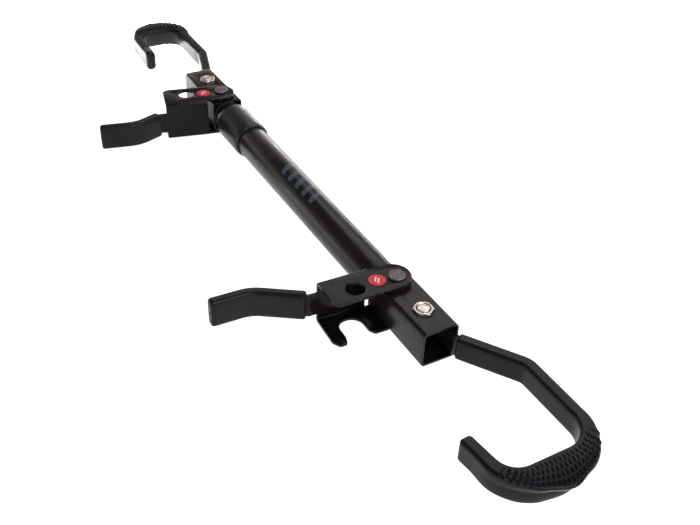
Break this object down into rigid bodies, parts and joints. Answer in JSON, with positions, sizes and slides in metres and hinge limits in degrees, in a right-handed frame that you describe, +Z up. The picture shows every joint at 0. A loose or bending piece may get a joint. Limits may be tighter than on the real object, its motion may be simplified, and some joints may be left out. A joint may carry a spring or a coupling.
{
  "type": "bicycle cross-bar adapter",
  "caption": "Telescoping spring-drawn bar with a rubber-covered hook and a swing-shut latch lever at each end, clipped across a bicycle frame for a car rack to hold.",
  "frame": {"origin": "on the main tube's axis, halfway along the bare stretch that a rack's cradle holds", "axes": "+X along the bar towards the wide hook, levers open towards -Y, +Z up square to the hooks' plane"},
  "size_m": [0.6349, 0.1469, 0.0345],
  "materials": {
    "black_coat": "satin powder coat",
    "hook_rubber": "satin moulded rubber",
    "grip_rubber": "matt moulded rubber",
    "collar_plastic": "moulded",
    "bush_plastic": "moulded",
    "badge": "glossy sticker",
    "zinc": "zinc plated",
    "rivet_steel": "painted, worn to bare steel at the rim",
    "spring_steel": "oiled"
  },
  "bodies": {
    "main_bar": {"main_tube": "black_coat", "near_head": "black_coat", "near_weld": "black_coat", "near_hook_bar": "black_coat", "near_hook_sleeve": "hook_rubber", "near_latch_bolt": "zinc", "near_latch_nut": "zinc", "near_pivot_rivet": "rivet_steel", "near_pivot_washers": "black_coat", "collar": "collar_plastic", "tension_spring": "spring_steel"},
    "near_lever": {"near_lever_bracket": "black_coat", "near_lever_grip": "grip_rubber", "near_badge": "badge"},
    "slider": {"inner_tube": "black_coat", "guide_bush": "bush_plastic", "far_head": "black_coat", "far_weld": "black_coat", "far_hook_bar": "black_coat", "far_hook_sleeve": "hook_rubber", "far_latch_bolt": "zinc", "far_latch_nut": "zinc", "far_pivot_rivet": "rivet_steel", "far_pivot_washers": "black_coat"},
    "far_lever": {"far_lever_bracket": "black_coat", "far_lever_grip": "grip_rubber", "far_badge": "badge"}
  },
  "joints": [
    {"name": "bar_extend", "type": "slide", "parent": "main_bar", "child": "slider", "axis": [-1, 0, 0], "range_m": [0, 0.15], "stiffness_N_per_m": 150, "springref_m": -0.05, "deforming": ["tension_spring"]},
    {"name": "near_lever_swing", "type": "hinge", "parent": "main_bar", "child": "near_lever", "pos_m": [0.1145, 0, 0], "axis": [0, 0, 1], "range_deg": [-1.5, 91.9]},
    {"name": "far_lever_swing", "type": "hinge", "parent": "slider", "child": "far_lever", "pos_m": [-0.1645, 0, 0], "axis": [0, 0, -1], "range_deg": [-9.5, 76.7]}
  ]
}
